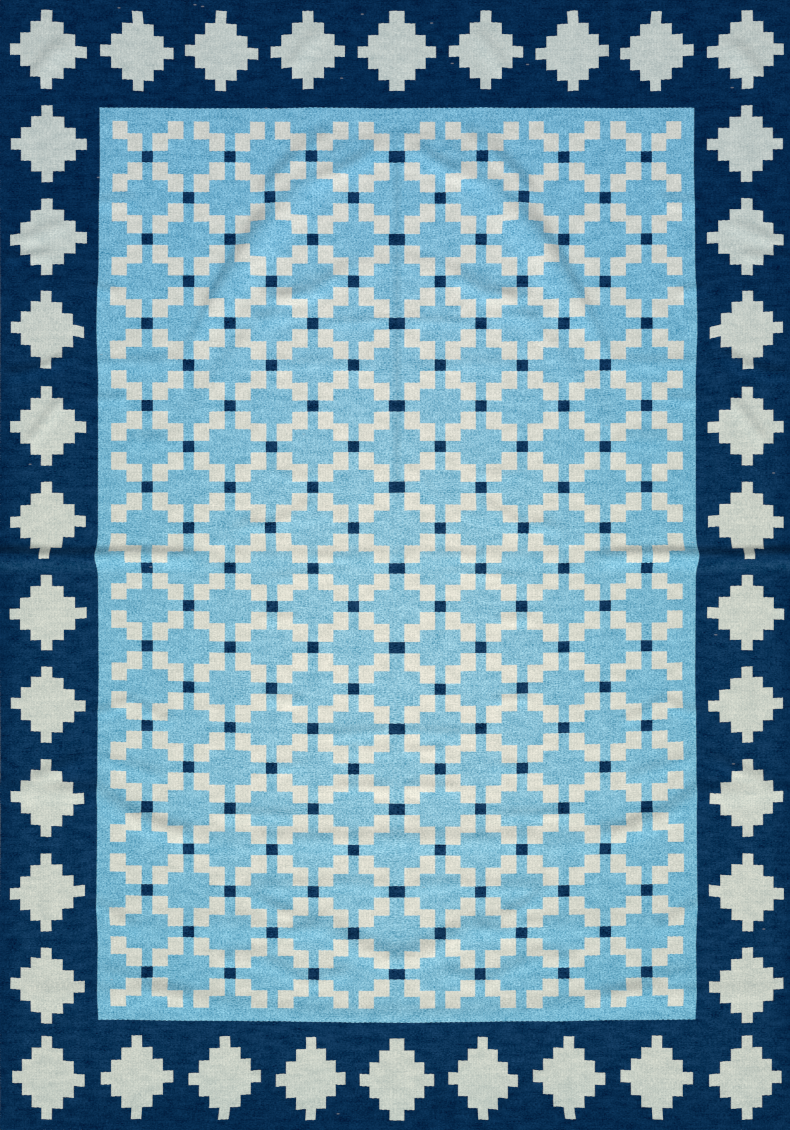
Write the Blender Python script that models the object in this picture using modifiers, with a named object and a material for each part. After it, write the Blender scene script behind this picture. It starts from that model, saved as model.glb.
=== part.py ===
"""A dhurrie rug: one flat-woven cloth that lies on the floor with the soft folds of its storage.

Units are metres and +Z is up. The rug's length runs along Y, from the foot end (-Y) to the head
end (+Y), its width runs along X, and the origin is on the floor under the middle of the rug.

The cloth is a grid of weft lines. Each fold is a ridge whose crest bows across the rug, alike on
both sides of the centre line, and the weft lines of the grid follow it, so that the crest and
both feet of a fold are always rows of the mesh. Between folds the cloth lies flat on the floor.
"""
import math
from collections import namedtuple

import bmesh
import bpy

# ---------------------------------------------------------------- driving dimensions
LENGTH = 2.005
WIDTH = 1.404
THICKNESS = 0.004

# The selvedges draw in between the corners and stand out where the middle crease lifts the cloth.
SELVEDGE_WANDER = 0.0010
SELVEDGE_WAVES = 2.5
CREASE_BULGE = 0.0030
CREASE_BULGE_REACH = 0.022
# The foot end bows out towards the middle of the rug, by this much from its corners.
FOOT_END_BOW = 0.0015

# ---------------------------------------------------------------- folds
# crest_mid and crest_side: Y of the crest on the centre line, and from reach to the selvedge.
# reach: how far from the centre line the crest is still bowed; a high power bends it late.
# head_width and foot_width: from the crest to where the cloth is flat again, on either side.
# lift_...: height of the crest above the floor at the four distances in LIFT_STATIONS.
Fold = namedtuple("Fold", (
    "name", "crest_mid", "crest_side", "reach", "power", "head_width", "foot_width",
    "lift_mid", "lift_flank", "lift_side", "lift_edge",
))
FOLDS = (
    Fold("foot_swag", -0.798, -0.757, 0.42, 2.5, 0.026, 0.040, 0.0040, 0.0030, 0.0055, 0.0010),
    Fold("vee_fold", -0.700, -0.640, 0.13, 1.5, 0.034, 0.032, 0.0095, 0.0045, 0.0020, 0.0000),
    Fold("lower_swag", -0.488, -0.403, 0.53, 5.5, 0.026, 0.032, 0.0052, 0.0050, 0.0090, 0.0035),
    Fold("middle_crease", 0.014, 0.014, 0.60, 2.5, 0.020, 0.030, 0.0020, 0.0018, 0.0078, 0.0120),
    Fold("inner_arch", 0.530, 0.200, 0.40, 2.2, 0.024, 0.034, 0.0024, 0.0030, 0.0010, 0.0000),
    Fold("crown_arch", 0.740, 0.355, 0.38, 2.0, 0.036, 0.058, 0.0030, 0.0120, 0.0020, 0.0000),
)
LIFT_STATIONS = (0.0, 0.24, 0.40, WIDTH / 2)
# A section's shoulder lies this share of the way out from its crest to its foot.
SHOULDER = 0.4

# ---------------------------------------------------------------- mesh
COLUMNS = 32
PLAIN_ROW_SPACING = 0.085
# The warp line on which the flat rows between the folds are counted.
GAUGE_X = LIFT_STATIONS[1]

CLOTH_COLOUR = (0.211, 0.490, 0.644, 1.0)
CLOTH_ROUGHNESS = 0.95


def ease(start, end, share):
    """Goes from start to end with a soft beginning and a soft stop, as share goes from 0 to 1."""
    share = min(max(share, 0.0), 1.0)
    return start + (end - start) * share * share * (3.0 - 2.0 * share)


def crest_y(fold, x):
    """Y of a fold's crest at a distance x from the centre line."""
    bowed = min(abs(x) / fold.reach, 1.0) ** fold.power
    return fold.crest_mid + (fold.crest_side - fold.crest_mid) * bowed


def crest_lift(fold, x):
    """Height of a fold's crest at a distance x from the centre line."""
    lifts = (fold.lift_mid, fold.lift_flank, fold.lift_side, fold.lift_edge)
    for near, far, low, high in zip(LIFT_STATIONS, LIFT_STATIONS[1:], lifts, lifts[1:]):
        if abs(x) <= far:
            return ease(low, high, (abs(x) - near) / (far - near))
    return lifts[-1]


def fold_section(fold, x):
    """The five points of a fold's section at x, as (y, z), from its foot side to its head side."""
    y = crest_y(fold, x)
    lift = crest_lift(fold, x)
    shoulder_lift = lift * (1.0 + math.cos(math.pi * SHOULDER)) / 2.0
    return [
        (y - fold.foot_width, 0.0),
        (y - fold.foot_width * SHOULDER, shoulder_lift),
        (y, lift),
        (y + fold.head_width * SHOULDER, shoulder_lift),
        (y + fold.head_width, 0.0),
    ]


def foot_end_y(x):
    """Y of the foot end, which bows out towards the centre line."""
    return -LENGTH / 2 + FOOT_END_BOW * (2.0 * x / WIDTH) ** 2


def plain_rows(gap):
    """How many rows of flat cloth a gap between two folds takes."""
    return max(round(gap / PLAIN_ROW_SPACING) - 1, 0)


def plain_row_counts():
    """The number of flat rows before each fold and after the last, gauged on one column."""
    counts = []
    y = foot_end_y(GAUGE_X)
    for fold in FOLDS:
        section = fold_section(fold, GAUGE_X)
        counts.append(plain_rows(section[0][0] - y))
        y = section[-1][0]
    counts.append(plain_rows(LENGTH / 2 - y))
    return counts


def add_plain_rows(points, end_y, count):
    """Adds count flat points, evenly spaced, between the last point and end_y."""
    start_y = points[-1][0]
    for step in range(1, count + 1):
        points.append((start_y + (end_y - start_y) * step / (count + 1), 0.0))


def column_points(x, counts):
    """Every (y, z) of the cloth's underside along one warp line, from foot end to head end."""
    points = [(foot_end_y(x), 0.0)]
    for fold, count in zip(FOLDS, counts):
        section = fold_section(fold, x)
        add_plain_rows(points, section[0][0], count)
        points.extend(section)
    add_plain_rows(points, LENGTH / 2, counts[-1])
    points.append((LENGTH / 2, 0.0))
    return points


def width_share(y):
    """The rug's width at y, as a share of WIDTH."""
    middle = next(fold for fold in FOLDS if fold.name == "middle_crease")
    off_crease = (y - middle.crest_side) / CREASE_BULGE_REACH
    bulge = math.exp(-off_crease * off_crease)
    wave = 0.5 - 0.5 * math.cos(2.0 * math.pi * SELVEDGE_WAVES * (y - middle.crest_side) / LENGTH)
    return 1.0 + 2.0 * (CREASE_BULGE * bulge - SELVEDGE_WANDER * wave) / WIDTH


def shape_cloth(mesh):
    """Fills mesh with the underside of the cloth: a grid whose rows follow the folds."""
    counts = plain_row_counts()
    rows = len(column_points(0.0, counts)) - 1
    grid = bmesh.new()
    bmesh.ops.create_grid(grid, x_segments=COLUMNS, y_segments=rows, size=0.5)
    warp_lines = [[] for column in range(COLUMNS + 1)]
    for vertex in grid.verts:
        warp_lines[round((vertex.co.x + 0.5) * COLUMNS)].append(vertex)
    for column, warp_line in enumerate(warp_lines):
        x = WIDTH * (column / COLUMNS - 0.5)
        warp_line.sort(key=lambda vertex: vertex.co.y)
        for vertex, (y, z) in zip(warp_line, column_points(x, counts)):
            vertex.co = (x * width_share(y), y, z)
    grid.to_mesh(mesh)
    grid.free()


def cloth_material():
    """The yarn's finish: matt, in the colour of the field."""
    material = bpy.data.materials.new("flatweave")
    material.use_nodes = True
    shader = material.node_tree.nodes["Principled BSDF"]
    shader.inputs["Base Color"].default_value = CLOTH_COLOUR
    shader.inputs["Roughness"].default_value = CLOTH_ROUGHNESS
    shader.inputs["Metallic"].default_value = 0.0
    return material


def make_cloth(collection):
    """Makes the rug as one named object, its thickness standing up from the underside."""
    mesh = bpy.data.meshes.new("dhurrie_cloth")
    cloth = bpy.data.objects.new("dhurrie_cloth", mesh)
    collection.objects.link(cloth)
    shape_cloth(mesh)
    mesh.materials.append(cloth_material())
    solidify = cloth.modifiers.new("thickness", "SOLIDIFY")
    solidify.thickness = THICKNESS
    solidify.offset = 1.0
    solidify.use_even_offset = True
    mesh.shade_smooth()
    mesh.set_sharp_from_angle(angle=math.radians(40.0))
    return cloth


def main():
    """Clears the scene and builds the rug."""
    for old in list(bpy.data.objects):
        bpy.data.objects.remove(old, do_unlink=True)
    collection = bpy.data.collections.new("dhurrie_rug")
    bpy.context.scene.collection.children.link(collection)
    make_cloth(collection)


main()
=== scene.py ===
"""A dhurrie rug laid out flat on a pale studio floor, with the soft folds of its storage.

Units are metres, and the rug's length runs along Y, from its foot end to its head end. Two pairs
of coordinates are used. The chart (across, along) says where a yarn lies on the loom, counted
evenly from the middle of the rug in warp ribs and weft beads. The cloth (x, y, z) says where that
yarn has come to lie on the floor, after the weaver's uneven beat and the rug's folds.
"""
from __future__ import annotations

import logging
import math
from dataclasses import dataclass, field
from enum import Enum
from typing import Union

import bpy
import numpy as np
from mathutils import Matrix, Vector, noise


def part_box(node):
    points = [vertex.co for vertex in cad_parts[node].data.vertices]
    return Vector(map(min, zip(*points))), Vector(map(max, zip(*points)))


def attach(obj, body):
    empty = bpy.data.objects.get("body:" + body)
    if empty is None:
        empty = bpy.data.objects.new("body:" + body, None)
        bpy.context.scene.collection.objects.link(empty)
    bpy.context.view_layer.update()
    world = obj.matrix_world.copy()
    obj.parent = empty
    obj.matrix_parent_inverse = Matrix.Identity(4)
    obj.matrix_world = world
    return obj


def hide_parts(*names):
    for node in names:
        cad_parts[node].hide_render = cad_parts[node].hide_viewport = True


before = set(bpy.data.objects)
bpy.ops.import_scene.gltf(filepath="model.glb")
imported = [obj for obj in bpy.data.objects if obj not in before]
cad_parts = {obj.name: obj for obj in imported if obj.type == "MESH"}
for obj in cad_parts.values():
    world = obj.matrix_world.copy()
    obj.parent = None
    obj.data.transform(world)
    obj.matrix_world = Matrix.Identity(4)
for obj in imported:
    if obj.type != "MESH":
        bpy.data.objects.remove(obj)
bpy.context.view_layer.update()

CLOTH_NODE = "dhurrie_cloth"
LOG = logging.getLogger("dhurrie_rug")
Colour = tuple[float, float, float]
Operand = Union["Signal", float]


# ======================================================================= shared arithmetic
def smooth_share(start: float, end: float, value: np.ndarray) -> np.ndarray:
    """How far value has come from start to end, from 0 to 1, with a soft start and stop."""
    share = np.clip((value - start) / (end - start), 0.0, 1.0)
    return share * share * (3.0 - 2.0 * share)


def ridge_profile(share: np.ndarray) -> np.ndarray:
    """Height of a soft ridge, from 1 at its crest (share 0) to 0 at its feet (share 1 and -1)."""
    return 0.5 + 0.5 * np.cos(math.pi * np.clip(share, -1.0, 1.0))


# ======================================================================= the weaver's chart
@dataclass(frozen=True)
class LoomChart:
    """The rug's design, counted from its middle: ribs across, metres along."""

    rib: float = 0.00457
    bead: float = 0.0019
    field_ribs: float = 115.0
    field_along: float = 0.806
    lattice_ribs: float = 110.0
    lattice_along: float = 0.782
    # One quarter of the lattice, from the middle of one knot to the middle of the next.
    quarter_ribs: float = 16.0
    quarter_along: float = 0.072
    knot_ribs: float = 2.25
    knot_along: float = 0.010
    stair_ribs: float = 2.0
    stair_along: float = 0.0413
    # The border's diamonds: where their rows and columns lie, and the size of one step.
    column_ribs: float = 134.0
    end_row_along: float = 0.9075
    diamond_ribs: float = 33.5
    diamond_along: float = 0.165
    steps: float = 3.5
    step_ribs: float = 4.12
    foot_step_ribs: float = 3.95
    side_step_along: float = 0.0194
    head_step_along: float = 0.0197
    foot_step_along: float = 0.0210
    step_spread: float = 0.018
    # How far a diamond's steps lean, and how far they bow, in metres to the rib.
    step_lean: float = 0.00030
    step_bow: float = 0.00022


# ======================================================================= outline and drift
@dataclass(frozen=True)
class Station:
    """How far the cloth lies from its place on the chart, at one distance."""

    at: float
    shift: float


Drift = tuple[Station, ...]


def drift_at(stations: Drift, at: np.ndarray, blur: float = 0.018) -> np.ndarray:
    """The shift at each distance, read between the stations.

    Args:
        stations: the known shifts, in order of distance.
        at: the distances that are asked for.
        blur: how far to each side the shift is averaged, which rounds the turns.

    Returns:
        The shift at each distance.
    """
    places = [station.at for station in stations]
    shifts = [station.shift for station in stations]
    samples = [np.interp(at + offset, places, shifts) for offset in np.linspace(-blur, blur, 7)]
    return sum(samples) / len(samples)


# The weaver's beat was uneven, so that most rows of the field lie nearer to the foot than on the
# chart.
FIELD_BEAT = (
    Station(-0.806, -0.0010), Station(-0.722, -0.0025), Station(-0.600, -0.0024),
    Station(-0.504, 0.0002), Station(-0.400, 0.0004), Station(-0.300, -0.0005),
    Station(-0.216, -0.0035), Station(-0.144, -0.0029), Station(-0.060, -0.0026),
    Station(0.000, -0.0088), Station(0.144, -0.0093), Station(0.288, -0.0100),
    Station(0.360, -0.0100), Station(0.432, -0.0080), Station(0.504, -0.0060),
    Station(0.576, -0.0040), Station(0.648, -0.0022), Station(0.720, -0.0027),
    Station(0.806, -0.0014),
)
# How much further towards the head a row lies at the field's sides than at its middle.
FIELD_BOW = (
    Station(-0.806, 0.0050), Station(-0.504, 0.0045), Station(-0.288, 0.0090),
    Station(-0.144, 0.0050), Station(0.050, 0.0005), Station(0.806, 0.0015),
)
# The side borders' diamonds.
SIDE_BEAT = (
    Station(-0.9075, 0.0000), Station(-0.7425, -0.0029), Station(-0.5775, -0.0037),
    Station(-0.4125, -0.0006), Station(-0.2475, -0.0006), Station(-0.0825, -0.0047),
    Station(0.0825, -0.0062), Station(0.2475, -0.0069), Station(0.4125, 0.0022),
    Station(0.5775, -0.0012), Station(0.7425, -0.0022), Station(0.9075, 0.0000),
)
# The end borders' diamonds, by their distance from the centre line.
HEAD_BEAT = (
    Station(0.000, -0.0037), Station(0.153, -0.0011), Station(0.306, -0.0047),
    Station(0.459, -0.0044), Station(0.612, 0.0000),
)
FOOT_BEAT = (
    Station(0.000, -0.0050), Station(0.153, -0.0016), Station(0.306, 0.0000),
    Station(0.612, 0.0000),
)
HEAD_SPREAD = (
    Station(0.000, 0.0000), Station(0.153, 0.0014), Station(0.306, 0.0034),
    Station(0.459, -0.0054), Station(0.612, 0.0004),
)
FOOT_SPREAD = (
    Station(0.000, 0.0000), Station(0.153, -0.0041), Station(0.306, -0.0052),
    Station(0.459, -0.0023), Station(0.612, -0.0005),
)
# How far a yarn lies outwards from its place on the chart, by its distance from the centre line.
# The middle ribs stand wider apart, because both halves of the rug were drawn out from there.
SPREAD_ACROSS = (
    Station(0.0000, 0.0000), Station(0.0091, 0.0046), Station(0.0750, 0.0033),
    Station(0.1500, 0.0021), Station(0.4400, 0.0020), Station(0.5256, 0.0018),
    Station(0.6125, 0.0066), Station(0.6990, 0.0030),
)
# How much further outwards the field is spread about its quarter lines, and at its side edges.
QUARTER_SPREAD = (
    Station(-0.806, -0.0024), Station(-0.722, -0.0026), Station(-0.578, -0.0014),
    Station(-0.431, -0.0012), Station(-0.340, 0.0000), Station(-0.144, -0.0004),
    Station(-0.074, -0.0018), Station(0.000, -0.0006), Station(0.064, 0.0024),
    Station(0.135, -0.0002), Station(0.573, 0.0000), Station(0.647, 0.0026),
    Station(0.806, 0.0036),
)
FIELD_EDGE = (
    Station(-0.800, 0.0000), Station(-0.740, 0.0012), Station(-0.660, 0.0002),
    Station(-0.610, 0.0030), Station(-0.500, 0.0018), Station(-0.420, 0.0014),
    Station(-0.300, 0.0008), Station(-0.200, -0.0012), Station(0.000, 0.0000),
    Station(0.340, -0.0002), Station(0.400, 0.0028), Station(0.450, 0.0024),
    Station(0.520, -0.0012), Station(0.600, -0.0012), Station(0.700, -0.0035),
    Station(0.800, -0.0028),
)


@dataclass(frozen=True)
class Outline:
    """The rug's outline on the floor, and the middle crease that pushes it out, as in the part."""

    length: float
    width: float
    selvedge_wander: float = 0.0010
    selvedge_waves: float = 2.5
    crease_bulge: float = 0.0030
    crease_bulge_reach: float = 0.022
    foot_end_bow: float = 0.0015
    crease_along: float = 0.014

    @classmethod
    def from_frame(cls) -> Outline:
        """Reads the rug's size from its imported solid."""
        low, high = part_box(CLOTH_NODE)
        return cls(length=high.y - low.y, width=high.x - low.x - 2.0 * cls.crease_bulge)

    def crease_share(self, y: np.ndarray) -> np.ndarray:
        """How strongly the middle crease pushes the cloth outwards, from 0 to 1."""
        return np.exp(-(((y - self.crease_along) / self.crease_bulge_reach) ** 2))

    def selvedge_shift(self, y: np.ndarray) -> np.ndarray:
        """How far the selvedge stands outside the straight line between the corners."""
        turns = self.selvedge_waves * (y - self.crease_along) / self.length
        wave = 0.5 - 0.5 * np.cos(2.0 * math.pi * turns)
        return self.crease_bulge * self.crease_share(y) - self.selvedge_wander * wave

    def foot_shift(self, across: np.ndarray) -> np.ndarray:
        """How far the foot end is drawn in from its middle, towards the corners."""
        return self.foot_end_bow * (2.0 * across / self.width) ** 2


@dataclass(frozen=True)
class WeaversHand:
    """Where the cloth lies on the floor, for each place on the chart."""

    outline: Outline
    chart: LoomChart
    crease_push: float = 0.0045
    spread_blur: float = 0.001
    # Distances from the centre line over which the field's edge shift comes in and goes out.
    edge_rise: tuple[float, float] = (0.42, 0.52)
    edge_fall: tuple[float, float] = (0.56, 0.66)
    selvedge_from: float = 0.62
    quarter_side: float = 0.190
    quarter_reach: float = 0.110
    border_blend: tuple[float, float] = (0.515, 0.575)
    end_blend: tuple[float, float] = (0.780, 0.850)
    end_fade: tuple[float, float] = (0.950, 1.0)

    def half_across(self) -> float:
        """Half the rug's width on the chart."""
        return self.outline.width / 2 - SPREAD_ACROSS[-1].shift

    def lengthwise(self, across: np.ndarray, along: np.ndarray) -> np.ndarray:
        """Y of the cloth at each place on the chart."""
        side = np.abs(across)
        field_side = self.chart.field_ribs * self.chart.rib
        bow = (np.minimum(side / field_side, 1.0)) ** 2 - 1.0 / 3.0
        shift = drift_at(FIELD_BEAT, along) + drift_at(FIELD_BOW, along) * bow
        in_border = smooth_share(*self.border_blend, side)
        shift = shift + (drift_at(SIDE_BEAT, along) - shift) * in_border
        end_beat = np.where(along > 0.0, drift_at(HEAD_BEAT, side), drift_at(FOOT_BEAT, side))
        in_end = smooth_share(*self.end_blend, np.abs(along))
        shift = shift + (end_beat - shift) * in_end
        at_rim = smooth_share(*self.end_fade, np.abs(along))
        foot_shift = self.outline.foot_shift(across) * (along < 0.0)
        return along + shift + (foot_shift - shift) * at_rim

    def crosswise(self, across: np.ndarray, along: np.ndarray, y: np.ndarray) -> np.ndarray:
        """X of the cloth at each place on the chart, whose Y is known."""
        side = np.abs(across)
        spread = drift_at(SPREAD_ACROSS, side, self.spread_blur)
        at_edge = smooth_share(*self.edge_rise, side)
        at_edge = at_edge * (1.0 - smooth_share(*self.edge_fall, side))
        push = self.crease_push * self.outline.crease_share(y)
        at_quarter = ridge_profile((side - self.quarter_side) / self.quarter_reach)
        shift = (drift_at(FIELD_EDGE, y) + push) * at_edge
        shift = shift + drift_at(QUARTER_SPREAD, y) * at_quarter
        end_spread = np.where(
            along > 0.0, drift_at(HEAD_SPREAD, side), drift_at(FOOT_SPREAD, side)
        )
        in_end = smooth_share(*self.end_blend, np.abs(along))
        in_end = in_end * (1.0 - smooth_share(*self.end_fade, np.abs(along)))
        shift = shift * (1.0 - in_end) + end_spread * in_end
        at_selvedge = smooth_share(self.selvedge_from, self.half_across(), side)
        shift = shift + self.outline.selvedge_shift(y) * at_selvedge
        return np.sign(across) * (side + spread + shift)

    def place(self, across: np.ndarray, along: np.ndarray) -> tuple[np.ndarray, np.ndarray]:
        """X and Y of the cloth at each place on the chart."""
        y = self.lengthwise(across, along)
        return self.crosswise(across, along, y), y


# ======================================================================= folds and creases
LIFT_STATIONS = (0.0, 0.24, 0.40, 0.702)


@dataclass(frozen=True)
class Fold:
    """A ridge that bows across the whole rug, on the same crest as in the part."""

    # Where the crest runs steeply, the widths count square to it, up to this many times over.
    MOST_WIDENED = 1.9
    # A fold narrows over these shares of its reach.
    NARROWING = (0.65, 0.95)

    name: str
    crest_mid: float
    crest_side: float
    reach: float
    power: float
    head_width: float
    foot_width: float
    lifts: tuple[float, float, float, float]
    # The share of its width that a fold keeps where its bow ends.
    narrowed: float = 1.0

    def lift(self, x: np.ndarray, y: np.ndarray) -> np.ndarray:
        """Height of the cloth over this fold."""
        side = np.abs(x)
        share = np.minimum(side / self.reach, 1.0)
        bow = self.crest_side - self.crest_mid
        off_crest = y - (self.crest_mid + bow * share**self.power)
        steepness = bow * self.power / self.reach * share ** (self.power - 1.0)
        steepness = np.where(share < 1.0, steepness, 0.0)
        crest = np.full_like(side, self.lifts[0])
        for near, far, low, high in zip(
            LIFT_STATIONS, LIFT_STATIONS[1:], self.lifts, self.lifts[1:]
        ):
            crest += (high - low) * smooth_share(near, far, side)
        width = np.where(off_crest < 0.0, self.foot_width, self.head_width)
        width = width * np.minimum(np.hypot(1.0, steepness), self.MOST_WIDENED)
        width = width * (1.0 - (1.0 - self.narrowed) * smooth_share(*self.NARROWING, share))
        return crest * ridge_profile(np.abs(off_crest) / width)


FOLDS = (
    Fold("foot_swag", -0.798, -0.757, 0.42, 2.5, 0.026, 0.040, (0.0040, 0.0030, 0.0055, 0.0010)),
    Fold("vee_fold", -0.700, -0.640, 0.13, 1.5, 0.034, 0.032, (0.0095, 0.0045, 0.0020, 0.0)),
    Fold("lower_swag", -0.488, -0.403, 0.53, 5.5, 0.026, 0.032, (0.0052, 0.0050, 0.0090, 0.0035)),
    Fold("middle_crease", 0.014, 0.014, 0.60, 2.5, 0.020, 0.030, (0.0020, 0.0018, 0.0078, 0.0120)),
    Fold("inner_arch", 0.530, 0.200, 0.40, 2.2, 0.024, 0.034, (0.0024, 0.0030, 0.0010, 0.0)),
    Fold("crown_arch", 0.740, 0.355, 0.38, 2.0, 0.036, 0.058, (0.0030, 0.0120, 0.0020, 0.0), 0.5),
)


@dataclass(frozen=True)
class Crease:
    """A short soft ridge along a route of (x, y) points, repeated on the rug's other side.

    A negative height makes a hollow, where a fold fades. The taper is the share of the route over
    which the crease rises at each end.
    """

    name: str
    height: float
    width: float
    route: tuple[tuple[float, float], ...]
    taper: float = 0.30

    def lift(self, x: np.ndarray, y: np.ndarray) -> np.ndarray:
        """Height of the cloth over this crease, which fades towards both of its ends."""
        points = [Vector(point) for point in self.route]
        reach = sum((far - near).length for near, far in zip(points, points[1:]))
        nearest = np.full_like(x, np.inf)
        travelled = np.zeros_like(x)
        start = 0.0
        for near, far in zip(points, points[1:]):
            run = far - near
            off_x, off_y = np.abs(x) - near.x, y - near.y
            share = np.clip((off_x * run.x + off_y * run.y) / run.length_squared, 0.0, 1.0)
            distance = np.hypot(off_x - share * run.x, off_y - share * run.y)
            travelled = np.where(distance < nearest, start + share * run.length, travelled)
            nearest = np.minimum(nearest, distance)
            start += run.length
        end = np.minimum(travelled, reach - travelled) / (self.taper * reach)
        return self.height * ridge_profile(nearest / self.width) * smooth_share(0.0, 1.0, end)


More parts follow.
